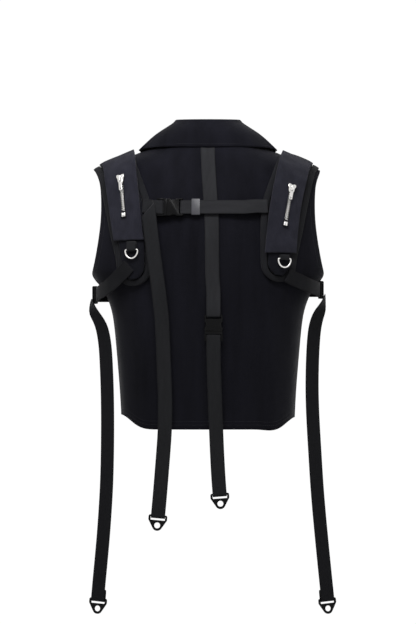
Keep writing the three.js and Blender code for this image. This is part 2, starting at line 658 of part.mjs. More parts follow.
function socketGeometry() {
  const half = BUCKLE_THICK / 2;
  const body = toSolid(plate(socketOutline(), BUCKLE_THICK, [], 1.2));
  const cavity = block(-CAVITY, CAVITY, -SOCKET_LENGTH - 1, -10, -half + PLATE, half - PLATE);
  const windows = block(-20, 20, -23.2, -11.5, -half + PLATE, half - PLATE);
  const slot = block(-WEB_SLOT, WEB_SLOT, -7.2, -BAR.y - BAR.half, -half, half);
  const over = block(-WEB_SLOT, WEB_SLOT, -BAR.y - BAR.half - 0.1, 1, BAR.deep, half);
  const below = block(-WEB_SLOT, WEB_SLOT, -BAR.y - BAR.half - 0.1, 1, -half, -BAR.deep);
  return toGeometry([cavity, windows, slot, over, below].reduce((a, b) => a.subtract(b), body));
}

const MIDDLE_BAR_Y = -38.2;
function plugGeometry() {
  const half = BUCKLE_WIDTH / 2;
  const top = -SOCKET_LENGTH - GAP;
  const head = block(-half + 0.4, half - 0.4, -34, top, -3.4, 3.4);
  const rail = (x0) => block(x0, x0 + 2.3, -BUCKLE_LENGTH, -33.9, -3.2, 3.2);
  const middle = block(-half + 1, half - 1, MIDDLE_BAR_Y - BAR.half, MIDDLE_BAR_Y + BAR.half, -BAR.deep, BAR.deep);
  const end = block(-half + 1, half - 1, -BUCKLE_LENGTH, -BUCKLE_LENGTH + 2.2, -1.8, 1.8);
  const guide = block(-2, 2, -29.5, -12, -2, 2);
  return toGeometry([rail(-half), rail(half - 2.3), middle, end, guide].reduce((a, b) => a.add(b), head));
}

const PRONG_ROOT = { x: 9.5, y: -28.1 };
function prongGeometry(sign) {
  const outline = [
    [8, -28.3], [8, -13], [9.4, -11.2], [12, -12], [13.8, -15.4], [14.3, -19], [13.7, -22.6], [11, -22.9],
    [11, -28.3],
  ].map(([x, y]) => [sign * (x - PRONG_ROOT.x), y - PRONG_ROOT.y]);
  return plate(sign > 0 ? outline : outline.reverse(), 4.4, [], 0.4);
}

function buckle(name, matrix, [prongA, prongB]) {
  add(`${name}_socket`, socketGeometry(), plastic(), matrix);
  add(`${name}_plug`, plugGeometry(), plastic(), matrix);
  for (const [prong, sign] of [[prongA, 1], [prongB, -1]])
    add(`${name}_prong_${prong}`, prongGeometry(sign), plastic(),
      matrix.clone().multiply(place(sign * PRONG_ROOT.x, PRONG_ROOT.y, 0)));
}

// Webbing on a socket's bar: stations in the buckle frame that come from above, and the plug's likewise.
const socketLoop = (back) => moved(turnRound(LOOP_RADIUS, 4, back), place(0, -BAR.y, 0));
const plugLoop = (reachOut) =>
  moved(turnRound(LOOP_RADIUS, reachOut, reachOut), place(0, MIDDLE_BAR_Y, 0, 0, 0, 180));

const turned = (stations) => stations.map(([p, n]) => [p, n.clone().negate()]);

// ---------------------------------------------------------------- end rings and free tails
function endRingGeometry() {
  const w = END_RING_WIDTH / 2;
  const outline = [
    ...arc(w - 3, -1.2, 3, 3, 0, 90, 3), ...arc(-w + 3, -1.2, 3, 3, 90, 180, 3),
    [-w, -7], ...arc(0, 1.8 - END_RING_HEIGHT + 9, 9, 9, 205, 335, 8), [w, -7],
  ];
  const slot = [[-WEB_SLOT, -1.8], [WEB_SLOT, -1.8], [WEB_SLOT - 0.8, -7.4], [-WEB_SLOT + 0.8, -7.4]];
  return plate(outline, END_RING_THICK, [slot, arc(0, -16.6, 5.2, 5.2, 360, 24, 14)], 0.6);
}

// A free tail: hand-chosen points with face normals, then a turn round its end ring's bar.
function tail(name, route, normals, { start = [], skewStart = 0 } = {}) {
  const facing = (i) => V(...normals[Math.min(i, normals.length - 1)]).normalize();
  const stations = smooth(route.map((p, i) => [V(...p), facing(i)]), 2 * route.length);
  const [end, out] = stations.pop();
  const up = stations[stations.length - 1][0].clone().sub(end).normalize();
  const across = up.clone().cross(out).normalize();
  const bar = new THREE.Matrix4()
    .makeBasis(across, up, across.clone().cross(up))
    .setPosition(end.clone().addScaledVector(out, -END_LOOP_RADIUS));
  const turn = moved(turnRound(END_LOOP_RADIUS, 18, 0).slice(0, -1).reverse(), bar);
  add(`${name}_tail`, strap([...start, ...stations, ...turn], { skewStart }), webbing());
  add(`${name}_end_ring`, endRingGeometry(), plastic(), bar);
}

// ---------------------------------------------------------------- centre strap
const onBack = (x, z, lift) => [lifted(x, reach(x, z), lift), formNormal(x, reach(x, z))];
const STRAP_LIFT = WEB_THICK / 2 + 0.8;
const centreS = reach(CENTRE_BUCKLE.x, CENTRE_BUCKLE.top);
const centreFrame = frameOn(CENTRE_BUCKLE.x, centreS, BUCKLE_THICK / 2 + 1);
buckle('centre', centreFrame, ['right', 'left']);
{
  const { x, top } = CENTRE_BUCKLE;
  const loop = moved(socketLoop(14), centreFrame).reverse();
  const middle = profile([[top, x], [-200, 7.2], [-125, 6.6], [-91, 4.4], [3, -0.4]]);
  const heights = [3, -4, -12, -22, -34, -48, -64, -82, -102, -124, -143, -160, -178, -205, top + 60];
  const down = heights.map((z) => onBack(middle(z), z, STRAP_LIFT));
  const toBuckle = smooth([
    down.pop(), onBack(x, top + 40, 3), onBack(x, top + 22, 6.4),
    onBack(x, top + 8, BUCKLE_THICK / 2 + 1 + LOOP_RADIUS),
  ], 6);
  add('centre_strap', strap([...down, ...toBuckle, ...loop.slice(1)]), webbing());
}
const hangingFrom = (frame) => moved(plugLoop(11), frame);
tail('centre', [
  [9.6, -120.2, -350], [9.8, -119.6, -364], [10.1, -118.5, -380], [10.6, -117.4, -396], [11.2, -116.4, -412],
  [11.8, -115.6, -428], [12.4, -114.9, -445], [13, -114.3, -462], [13.7, -113.8, -480], [14.4, -113.4, -498],
  [15.1, -113, -516], [15.9, -112.7, -534], [16.8, -112.4, -552], [17.8, -112.2, -570], [19, -112, -588],
  [20.4, -112, -606],
], [[0, -1, 0]], { start: hangingFrom(centreFrame) });

// ---------------------------------------------------------------- cross strap
const crossFrame = new THREE.Matrix4().makeRotationX(THREE.MathUtils.degToRad(90 - CROSS.tilt));
{
  const out = V(0, 0, 1).applyMatrix4(crossFrame);
  crossFrame.makeBasis(V(1, 0, 0).cross(out), V(1, 0, 0), out).setPosition(CROSS.socketX, CROSS.y, CROSS.z);
}
buckle('cross', crossFrame, ['lower', 'upper']);
const crossAt = (x, lift) =>
  moved([[V(0, x - CROSS.socketX, lift), V(0, 0, 1)]], crossFrame)[0];
{
  const rim = 0.6 + Math.max(RIM_THICK, PAD_THICK - 4) + 0.6 + WEB_THICK / 2;
  const run = smooth([
    ...[-37.5, -10, 20, 48, 56, 64].map((x) => crossAt(x, LOOP_RADIUS)),
    onBack(84, CROSS.z, rim + 3.4), onBack(96, CROSS.z, rim + 1.6), onBack(102.5, CROSS.z, rim + 3.2),
  ], 20);
  add('cross_strap', strap([...moved(socketLoop(8), crossFrame).slice(0, -1), ...run]), webbing());
  const hole = [[-WEB_SLOT, -1.3], [WEB_SLOT, -1.3], [WEB_SLOT, 1.3], [-WEB_SLOT, 1.3]];
  const wall = WEB_SLOT + 1.3;
  const sleeve = [[-wall, -2.4], [wall, -2.4], [wall, 2.4], [-wall, 2.4]];
  const along = place(0, CROSS.keeperX - CROSS.socketX, LOOP_RADIUS, 90, 0, 0);
  add('cross_keeper', plate(sleeve, KEEPER_LENGTH, [hole.reverse()], 0.4), plastic(),
    crossFrame.clone().multiply(along));
  const anchor = smooth([
    onBack(-112.5, CROSS.z, rim + 3), onBack(-106, CROSS.z, rim + 2.6), onBack(-99, CROSS.z, rim + 1),
    crossAt(CROSS.socketX - BUCKLE_LENGTH - 2, -LOOP_RADIUS),
  ], 6);
  add('cross_anchor_web', strap([...turned(anchor), ...moved(plugLoop(16), crossFrame).slice(1)]), webbing());
}
const FOLD_SKEW = 0.5; // a 45 degree fold across the webbing
const SHORT_SKEW = 0;
tail('cross', [
  [-104.5, -113.7, -106], [-103, -117, -119], [-100.5, -118.2, -142], [-97, -118.8, -170], [-92.8, -119, -202],
  [-88, -118.8, -236], [-84, -117.6, -268], [-80.4, -115.8, -303], [-78.7, -114.4, -340], [-77, -113.7, -385],
  [-75, -113.2, -440], [-75.6, -112.6, -493], [-78, -112.1, -530], [-80.6, -112, -563], [-84, -112, -605],
  [-87.5, -112, -644],
], [[0, -0.97, 0.24], [0, -0.98, 0.16], [0, -1, 0]], { skewStart: FOLD_SKEW * WEB });

// ---------------------------------------------------------------- side straps
const ROUTES = {
  left: [
    [-205, -37, -263], [-204.6, -37, -274], [-201.6, -36.6, -288], [-193, -35, -299], [-186, -32.5, -318],
    [-181.5, -30.5, -345], [-179, -29.3, -385], [-177.6, -28.6, -425], [-177, -28.2, -465], [-177, -28, -505],
    [-177.5, -28, -545], [-178.6, -28, -587], [-181, -28, -632], [-184.4, -28, -680], [-188.4, -28, -725],
    [-192, -28, -763], [-194.6, -28, -793],
  ],
  right: [
    [206.4, -37, -254], [205.4, -37, -265], [201, -36.6, -277], [194.4, -35, -291], [188.6, -32.5, -312],
    [185.4, -30.5, -345], [183.8, -29.3, -385], [183.4, -28.6, -425], [184.5, -28.2, -465], [186.6, -28, -505],
    [189, -28, -545], [191.8, -28, -590], [195.4, -28, -635], [199.6, -28, -680], [204, -28, -725],
    [208, -28, -764], [211, -28, -793],
  ],
};
for (const [side, spec] of Object.entries(SIDES)) {
  const { sign } = spec;
  const out = V(sign, 0, 0);
  const frame = new THREE.Matrix4()
    .makeBasis(V(0, 1, 0).cross(out), V(0, 1, 0), out)
    .setPosition(sign * SIDE_BUCKLE_X, BUCKLE_LENGTH / 2, spec.buckleZ);
  buckle(`side_${side}`, frame, sign > 0 ? ['lower', 'upper'] : ['upper', 'lower']);

  const overPad = PAD_THICK + 1 + WEB_THICK / 2;
  const inFrame = (y, z) => moved([[V(0, y, z), V(0, 0, 1)]], frame)[0];
  const onSide = (x, s, lift) => [lifted(sign * x, s, lift), formNormal(sign * x, s)];
  const fromPad = (x, y, dz, nx) => [V(sign * x, y, spec.buckleZ + dz), V(sign * nx, -Math.sqrt(1 - nx * nx), 0)];
  const back = smooth([
    ...spec.web.map(([x, z]) => onBack(sign * x, z, overPad)),
    fromPad(171, -92, spec.webDrop, 0.5), fromPad(188, -68, spec.webDrop / 3, 0.75), fromPad(196, -44, 1, 0.96),
    inFrame(-BUCKLE_LENGTH - 3, -LOOP_RADIUS),
  ], 14);
  add(`side_web_${side}`, strap([...turned(back), ...moved(plugLoop(16), frame).slice(1)]), webbing());

  const onFront = (x) => onSide(x, -reach(x, spec.buckleZ), STRAP_LIFT + 0.3);
  const front = smooth([
    onFront(112), onFront(132), onFront(150), [V(sign * 171, 65, spec.buckleZ), V(sign * 0.7, 0.72, 0)],
    [V(sign * 190, 50, spec.buckleZ), V(sign * 0.85, 0.5, 0)], inFrame(10, LOOP_RADIUS),
  ], 14);
  add(`side_front_web_${side}`,
    strap([...front, ...moved(socketLoop(8), frame).reverse().slice(1)]), webbing());
  tail(`side_${side}`, ROUTES[side], [
    [sign, -0.02, 0], [sign, -0.1, 0], [0.86 * sign, -0.5, 0], [0.6 * sign, -0.8, 0], [0.4 * sign, -0.92, 0],
    [0.34 * sign, -0.94, 0],
  ], { skewStart: -sign * SHORT_SKEW * WEB });
}

export default vest;
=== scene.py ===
import json
import math

import bmesh
import bpy
from mathutils import Matrix, Vector
from mathutils.bvhtree import BVHTree


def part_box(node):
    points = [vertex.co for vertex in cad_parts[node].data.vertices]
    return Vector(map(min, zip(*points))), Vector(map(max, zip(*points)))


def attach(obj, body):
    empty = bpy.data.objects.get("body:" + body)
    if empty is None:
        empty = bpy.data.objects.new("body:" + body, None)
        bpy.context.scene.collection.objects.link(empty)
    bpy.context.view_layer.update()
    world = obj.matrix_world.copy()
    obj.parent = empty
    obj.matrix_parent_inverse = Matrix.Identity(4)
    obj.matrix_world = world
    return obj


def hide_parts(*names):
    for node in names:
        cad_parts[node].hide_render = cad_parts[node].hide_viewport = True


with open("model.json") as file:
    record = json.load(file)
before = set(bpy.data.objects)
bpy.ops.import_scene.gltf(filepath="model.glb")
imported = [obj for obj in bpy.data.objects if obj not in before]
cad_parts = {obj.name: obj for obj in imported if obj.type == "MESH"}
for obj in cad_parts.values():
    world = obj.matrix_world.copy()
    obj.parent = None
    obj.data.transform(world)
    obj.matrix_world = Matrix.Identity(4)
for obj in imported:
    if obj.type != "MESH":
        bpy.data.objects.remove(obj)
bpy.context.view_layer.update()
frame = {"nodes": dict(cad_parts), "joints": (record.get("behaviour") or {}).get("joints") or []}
nodes = frame["nodes"]
scene = bpy.context.scene
scene.view_settings.view_transform = "Standard"

# The camera: level, straight behind the back and far enough away for the vest to keep its proportions.
camera = bpy.data.objects.new("camera", bpy.data.cameras.new("camera"))
camera.location = (0, -12, -0.287)
camera.rotation_euler = (math.pi / 2, 0, 0)
camera.data.lens = 391.9
camera.data.clip_end = 100
scene.collection.objects.link(camera)
scene.camera = camera


# The four free tails: flat ribbed webbing, 25 mm wide and 1.6 mm thick, that hangs down and turns back
# round the bar of its end ring. One is looped on the centre buckle, one is folded out from under the
# cross buckle, and two hang from the buckles at the sides.
class Shade:
    """One output in a material's nodes. A sum of shades adds the nodes that work it out."""

    def __init__(self, tree, socket):
        self.tree, self.socket = tree, socket

    def worked(self, operation, *terms):
        node = self.tree.nodes.new("ShaderNodeMath")
        node.operation = operation
        for slot, term in zip(node.inputs, terms):
            if isinstance(term, Shade):
                self.tree.links.new(term.socket, slot)
            else:
                slot.default_value = term
        return Shade(self.tree, node.outputs[0])

    def __add__(self, other):
        return self.worked("ADD", self, other)

    def __radd__(self, other):
        return self.worked("ADD", other, self)

    def __sub__(self, other):
        return self.worked("SUBTRACT", self, other)

    def __rsub__(self, other):
        return self.worked("SUBTRACT", other, self)

    def __mul__(self, other):
        return self.worked("MULTIPLY", self, other)

    def __rmul__(self, other):
        return self.worked("MULTIPLY", other, self)

    def __truediv__(self, other):
        return self.worked("DIVIDE", self, other)

    def __pow__(self, other):
        return self.worked("POWER", self, other)

    def __abs__(self):
        return self.worked("ABSOLUTE", self)

    def wave(self, pitch):
        """From 0 to 1 and back once in each pitch."""
        return (self * (2 * math.pi / pitch)).worked_alone("SINE") * 0.5 + 0.5

    def worked_alone(self, operation):
        return self.worked(operation, self)


class Finish:
    """A piece's material: one Principled surface, with what varies over it fed in by put()."""

    def __init__(self, name, **steady):
        self.material = bpy.data.materials.new(name)
        self.material.use_nodes = True
        self.tree = self.material.node_tree
        self.surface = self.tree.nodes["Principled BSDF"]
        for socket, value in steady.items():
            self.surface.inputs[socket.replace("_", " ")].default_value = value

    def node(self, kind, settings, values, output=0):
        """Adds a node: its settings are set first, then its sockets are given values or linked."""
        node = self.tree.nodes.new(kind)
        for key, value in settings.items():
            if key == "stops":
                for stop, (place, tone) in zip((*node.color_ramp.elements, *(None,) * 9), value):
                    stop = stop or node.color_ramp.elements.new(place)
                    stop.position, stop.color = place, (*tone, 1)
            else:
                setattr(node, key, value)
        for key, value in values.items():
            if isinstance(value, Shade):
                self.tree.links.new(value.socket, node.inputs[key])
            else:
                node.inputs[key].default_value = value
        return Shade(self.tree, node.outputs[output])

    def place(self):
        """Object coordinates, in metres."""
        return self.node("ShaderNodeTexCoord", {}, {}, "Object")

    def along(self, layer):
        """A piece's own UV map, in metres across and along."""
        return self.node("ShaderNodeUVMap", {"uv_map": layer}, {})

    def split(self, vector):
        x = self.node("ShaderNodeSeparateXYZ", {}, {0: vector})
        return [Shade(self.tree, x.socket.node.outputs[i]) for i in range(3)]

    def stretched(self, vector, scale):
        return self.node("ShaderNodeMapping", {}, {"Vector": vector, "Scale": scale})

    def cloudy(self, vector, scale, detail=3.0, rough=0.55):
        values = {"Vector": vector, "Scale": scale, "Detail": detail, "Roughness": rough}
        return self.node("ShaderNodeTexNoise", {}, values)

    def between(self, share, dark, light):
        """A colour from dark to light by share."""
        settings = {"data_type": "RGBA"}
        return self.node("ShaderNodeMix", settings, {0: share, 6: (*dark, 1), 7: (*light, 1)}, 2)

    def put(self, **varying):
        for socket, value in varying.items():
            self.tree.links.new(value.socket, self.surface.inputs[socket.replace("_", " ")])

    def raise_by(self, height, distance, strength=1.0):
        values = {"Height": height, "Distance": distance, "Strength": strength}
        self.put(Normal=self.node("ShaderNodeBump", {}, values))


WEB = 0.025
WEB_THICK = 0.0016


def ribbed_webbing(name, dark, light):
    """Webbing with raised ribs along its length, crossed by its weft, darker at its bound edges."""
    finish = Finish(name, Roughness=0.7, Specular_IOR_Level=0.1, Sheen_Weight=0.08, Sheen_Roughness=0.4)
    run = finish.along("webbing")
    across, length, _ = finish.split(run)
    rib = across.wave(0.0021)
    weft = (length + across * 0.5).wave(0.0013)
    mottle = finish.cloudy(finish.stretched(run, (60, 9, 1)), 1.0, 4.0)
    edge = abs(across - WEB / 2) / (WEB / 2)
    selvedge = edge**12
    share = rib * 0.35 + weft * 0.2 + mottle * 0.75 - selvedge * 0.45 - 0.15
    finish.put(Base_Color=finish.between(share, dark, light), Roughness=0.62 + mottle * 0.22)
    finish.raise_by(rib * 0.7 + weft * 0.45 + mottle * 0.2, 0.0004, 0.8)
    return finish.material


webbing = ribbed_webbing("webbing", (0.006, 0.0062, 0.0075), (0.036, 0.037, 0.042))
# A copy of the webbing with painted shade: the same webbing made darker for the side webs and the side tails,
# which turn away from the lamps.
painted_shade_webbing = ribbed_webbing("painted_shade_webbing", (0.003, 0.003, 0.0038), (0.017, 0.0172, 0.021))


def merged(node):
    """A frame node's mesh with its loose triangles merged into whole faces."""
    bm = bmesh.new()
    bm.from_mesh(nodes[node].data)
    bmesh.ops.remove_doubles(bm, verts=bm.verts, dist=2e-6)
    bmesh.ops.join_triangles(
        bm, faces=bm.faces, angle_face_threshold=math.pi, angle_shape_threshold=math.pi
    )
    return bm


def cross_sections(node):
    """The middle line of a frame node's webbing: a centre, a step to its edge and a facing each."""
    bm = merged(node)
    corners = [v for v in bm.verts if len(v.link_edges) == 3]
    first = corners[0]
    ends = next(f for f in first.link_faces if all(v in corners for v in f.verts))
    ring, seen, sections = list(ends.verts), set(), []
    while ring:
        seen.update(ring)
        a, b, c, d = ring
        if (a.co - b.co).length < (b.co - c.co).length:
            a, b, c, d = b, c, d, a
        one, other = (a.co + d.co) / 2, (b.co + c.co) / 2
        if sections and (one - other).dot(sections[-1][1]) < 0:
            one, other = other, one
        sections.append(((one + other) / 2, (one - other) / 2))
        step = []
        for v in ring:
            step += [e.other_vert(v) for e in v.link_edges if e.other_vert(v) not in seen]
        ring = step
    bm.free()
    return sections


def object_of(name, bm, material, body):
    """A finished piece: its mesh smooth, with its material, riding on its body."""
    mesh = bpy.data.meshes.new(name)
    bm.to_mesh(mesh)
    bm.free()
    mesh.materials.append(material)
    for face in mesh.polygons:
        face.use_smooth = True
    piece = bpy.data.objects.new(name, mesh)
    scene.collection.objects.link(piece)
    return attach(piece, body)


def rounded(piece, levels=1):
    soft = piece.modifiers.new("rounded", "SUBSURF")
    soft.levels = soft.render_levels = levels
    return piece


def woven_band(name, sections, material, body="vest", thick=WEB_THICK):
    """Webbing laid through its cross sections, one row of edges drawn out from each to the next."""
    shares = (-1, -0.9, -0.45, 0, 0.45, 0.9, 1)
    bm = bmesh.new()
    layer = bm.loops.layers.uv.new("webbing")
    centre, half = sections[0]
    row = [bm.verts.new(centre + half * share) for share in shares]
    edges = [bm.edges.new(pair) for pair in zip(row, row[1:])]
    length, place = 0, {v: (share, 0) for v, share in zip(row, shares)}
    for next_centre, next_half in sections[1:]:
        length += (next_centre - centre).length
        centre = next_centre
        drawn = bmesh.ops.extrude_edge_only(bm, edges=edges)["geom"]
        new = {v for v in drawn if isinstance(v, bmesh.types.BMVert)}
        for v in new:
            old = next(e.other_vert(v) for e in v.link_edges if e.other_vert(v) not in new)
            place[v] = (place[old][0], length)
            v.co = next_centre + next_half * place[v][0]
        edges = [e for e in drawn if isinstance(e, bmesh.types.BMEdge) and set(e.verts) <= new]
    width = min(half.length for _, half in sections) * 2
    for face in bm.faces:
        for loop in face.loops:
            share, run = place[loop.vert]
            loop[layer].uv = ((WEB + share * width) / 2, run)
    bmesh.ops.recalc_face_normals(bm, faces=bm.faces)
    band = object_of(name, bm, material, body)
    body_of_it = band.modifiers.new("thickness", "SOLIDIFY")
    body_of_it.thickness, body_of_it.offset, body_of_it.use_even_offset = thick, 0, True
    return rounded(band)


def turned_to(half, flat, share):
    """The side tails turn flat to the back within a hand's breadth of their buckles."""
    share = min(1, max(0, share))
    near = flat if half.dot(flat) > 0 else -flat
    return half.lerp(near, share * share * (3 - 2 * share)).normalized() * half.length


for name in ("centre", "cross", "side_left", "side_right"):
    sections = cross_sections(f"{name}_tail")
    if sections[0][0].z < sections[-1][0].z:
        sections.reverse()
    if name.startswith("side"):
        flat = sections[-14][1]
        sections = [(c, turned_to(half, flat, (-0.270 - c.z) / 0.026)) for c, half in sections]
    # The side tails take the darker webbing copy, which is painted shade.
    tail = woven_band(
        f"{name}_webbing_tail", sections, painted_shade_webbing if name.startswith("side") else webbing
    )
    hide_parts(f"{name}_tail")
    path = [centre for centre, half in sections]
    sum((b - a).length for a, b in zip(path, path[1:]))


# The back, fronts and collar: fine black twill with a soft shine, cut and sewn as a cropped jacket's are,
# with the seams and the hem stitched through. Folds fall from the shoulder blades and the armholes.
def twill(name, dark, light, shine=0.5, weave=0.0009):
    finish = Finish(name, Roughness=0.7, Specular_IOR_Level=0.05, Sheen_Weight=0.05, Sheen_Roughness=0.45)
    place = finish.place()
    x, y, z = finish.split(place)
    line = (x + y * 0.6 + z).wave(weave)
    yarn = (x - z * 0.6).wave(weave * 0.6)
    streaks = finish.cloudy(finish.stretched(place, (38, 38, 5)), 1.0, 4.0)
    patches = finish.cloudy(finish.stretched(place, (9, 9, 4.5)), 1.0, 2.0)
    share = line * 0.16 + yarn * 0.08 + streaks * 0.8 + patches * shine - 0.4
    finish.put(Base_Color=finish.between(share, dark, light), Roughness=0.82 - patches * 0.3)
    finish.raise_by(line * 0.5 + yarn * 0.35 + streaks * 0.8, 0.0004, 0.5)
    return finish.material


cloth = twill("cloth", (0.003, 0.003, 0.005), (0.019, 0.019, 0.030))


def hang(p):
    """Where a point of the cloth comes to hang: soft folds deepen towards the hem, the armholes'
    lower edges stand out over the side webs, the right hem corner drops a little, and the neck edge
    reaches up into the collar's fold."""
    x, z = p.x, p.z
    low = min(1, max(0, (-0.14 - z) / 0.3))
    side = min(1, abs(x) / 0.15)
    lean = x + 0.05 * z * (1 if x > 0 else -1)
    fold = math.sin(lean * 88 + 0.6) * 0.5 + math.sin(lean * 151 + z * 6) * 0.3 + 0.8
    pull = max(0, 1 - ((abs(x) - 0.15) ** 2 + (z + 0.27) ** 2 * 0.4) / 0.004)
    inwards = 0.0018 * fold * low * (0.35 + 0.65 * side) + 0.0018 * pull * (1 + math.sin(z * 190 + x * 60))
    rise = min(1, max(0, (-0.12 - z) / 0.10)) * min(1, max(0, (z + 0.246) / 0.018))
    outwards = 0.010 * rise * min(1, max(0, (abs(x) - 0.15) / 0.035)) * (1 if x > 0 else -1)
    corner = max(0, 1 - ((x - 0.135) ** 2 + (z + 0.478) ** 2) / 0.0018)
    back_only = 1 if p.y < 0 else 0
    neck = min(1, max(0, (z + 0.02) / 0.012)) * min(1, max(0, (0.09 - abs(x)) / 0.015))
    return Vector((outwards, inwards * back_only, 0.0065 * neck * back_only - 0.006 * corner))


def crisp(bm):
    """Holds the edges where the cloth is cut or folded, and the corners, against the rounding."""
    edge_crease = bm.edges.layers.float.new("crease_edge")
    corner_crease = bm.verts.layers.float.new("crease_vert")
    for edge in bm.edges:
        if edge.calc_face_angle(0) > math.radians(50):
            edge[edge_crease] = 0.9
    for v in bm.verts:
        if len(v.link_edges) == 3:
            v[corner_crease] = 1


def spread(p):
    """The collar's front corners spread out and down over the shoulders."""
    share = min(1, max(0, (abs(p.x) - 0.075) / 0.035)) * min(1, max(0, (0.035 - p.z) / 0.03))
    return Vector((0.008 * share * (1 if p.x > 0 else -1), 0, -0.003 * share))


def sewn(name, node, material, body="vest", levels=2, hangs=None):
    """A soft piece that starts as the frame's solid: its cut edges stay crisp and its surface is smooth."""
    bm = merged(node)
    crisp(bm)
    if hangs:
        for v in bm.verts:
            v.co += hangs(v.co)
    piece = rounded(object_of(name, bm, material, body), levels)
    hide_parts(node)
    return piece


back = sewn("back", "back_panel", cloth, hangs=hang)
for side in ("left", "right"):
    sewn(f"front_{side}", f"front_panel_{side}", cloth, hangs=hang)
    sewn(f"lapel_of_front_{side}", f"lapel_{side}", cloth, levels=1)
folded_collar = sewn("folded_collar", "collar", cloth, hangs=spread)

# The linings: thin smooth black cloth behind the back and the fronts, sewn in at the edges.
lining_cloth = twill("lining_cloth", (0.003, 0.003, 0.0045), (0.016, 0.016, 0.022), 0.8, 0.0005)
sewn("back_lining_cloth", "back_lining", lining_cloth, hangs=hang)
for side in ("left", "right"):
    sewn(f"front_lining_cloth_{side}", f"front_lining_{side}", lining_cloth, hangs=hang)


# The stitching: black thread in short stitches along the hem, the armholes and the collar's edge.
thread_finish = Finish("thread", Roughness=0.55, Specular_IOR_Level=0.3)
x, y, z = thread_finish.split(thread_finish.place())
ply = (x + y + z).wave(0.0004)
thread_finish.put(Base_Color=thread_finish.between(ply, (0.012, 0.012, 0.016), (0.045, 0.045, 0.055)))
thread_finish.raise_by(ply, 0.0001, 0.6)
thread = thread_finish.material


def surface_of(*pieces):
    """What a needle meets: the shown surfaces of the pieces, ready to be asked for their nearest point."""
    bpy.context.view_layer.update()
    graph = bpy.context.evaluated_depsgraph_get()
    return [BVHTree.FromObject(piece, graph) for piece in pieces]


def nearest(surfaces, point):
    found = [tree.find_nearest(point) for tree in surfaces]
    return min((f for f in found if f[0] is not None), key=lambda f: f[3])


def stitched(name, rows, surfaces, body="vest", stitch=0.0026, gap=0.0011, thread_radius=0.00028):
    """Stitches along rows of points, each set on the nearest cloth and turned along its row."""
    bm = bmesh.new()
    for row in rows:
        left, last = 0, None
        for a, b in zip(row, row[1:]):
            span = (b - a).length
            while span and left <= span:
                spot, normal, *_ = nearest(surfaces, a.lerp(b, left / span))
                left += stitch + gap
                if last is not None and (spot - last).length > 1e-5:
                    along = (spot - last).normalized()
                    across = along.cross(normal).normalized()
                    turn = Matrix((along, across, along.cross(across))).transposed().to_4x4()
                    size = Matrix.Diagonal((stitch / 2, thread_radius, thread_radius, 1))
                    at = Matrix.Translation(spot + normal * thread_radius * 0.5)
                    bmesh.ops.create_icosphere(bm, subdivisions=1, radius=1, matrix=at @ turn @ size)
                last = spot
            left -= span
    piece = object_of(name, bm, thread, body)
    return piece


def from_behind(tree, x, z):
    """Where a line of sight from behind the back meets the cloth, or nothing."""
    return tree.ray_cast(Vector((x, -1, z)), Vector((0, 1, 0)))[0]


def lowest(tree, x, low, high, up):
    """The point that lies the length up above the cloth's lower edge at x."""
    steps = [low + (high - low) * i / 60 for i in range(61)]
    first = next((z for z in steps if from_behind(tree, x, z)), None)
    return None if first is None else from_behind(tree, x, first + up)


def outermost(tree, z, sign, inwards):
    """The point that lies the length inwards of the cloth's side edge at z."""
    steps = [0.205 - 0.0015 * i for i in range(60)]
    first = next((x for x in steps if from_behind(tree, sign * x, z)), None)
    return None if first is None else from_behind(tree, sign * (first - inwards), z)


def kept(points):
    return [p for p in points if p]


back_surface = surface_of(back)
hem_rows = [kept(lowest(back_surface[0], -0.144 + 0.004 * i, -0.51, -0.45, up) for i in range(73)) for up in (0.008, 0.014)]
arm_rows = [
    kept(outermost(back_surface[0], -0.045 - 0.004 * i, sign, 0.007) for i in range(48)) for sign in (-1, 1)
]
stitched("back_stitching", hem_rows + arm_rows, back_surface)
collar_surface = surface_of(folded_collar)
collar_rows = [kept(lowest(collar_surface[0], -0.108 + 0.004 * i, -0.02, 0.03, 0.005) for i in range(55))]
stitched("collar_stitching", collar_rows, collar_surface)

# The two shoulder pads: thin foam in black twill, crowned in the middle, each with webbing folded round
# its edge. They run over the shoulders and end round on the shoulder blades.
binding_finish = Finish("binding", Roughness=0.75, Specular_IOR_Level=0.1, Sheen_Weight=0.08, Sheen_Roughness=0.4)
x, y, z = binding_finish.split(binding_finish.place())
rib = (x + y * 0.4).wave(0.0021)
weft = (z + y * 0.3).wave(0.0013)
mottle = binding_finish.cloudy(binding_finish.stretched(binding_finish.place(), (45, 45, 20)), 1.0, 4.0)
share = rib * 0.35 + weft * 0.25 + mottle * 0.8 - 0.25
binding_finish.put(
    Base_Color=binding_finish.between(share, (0.0055, 0.0057, 0.007), (0.028, 0.0285, 0.034)),
    Roughness=0.66 + mottle * 0.2,
)
binding_finish.raise_by(rib * 0.7 + weft * 0.5, 0.0004, 0.7)
pad_cloth = twill("pad_cloth", (0.004, 0.0042, 0.0065), (0.023, 0.0235, 0.034), 0.45)
for side in ("left", "right"):
    pad = sewn(f"pad_{side}", f"shoulder_pad_{side}", pad_cloth)
    sewn(f"pad_edge_{side}", f"pad_binding_{side}", binding_finish.material)
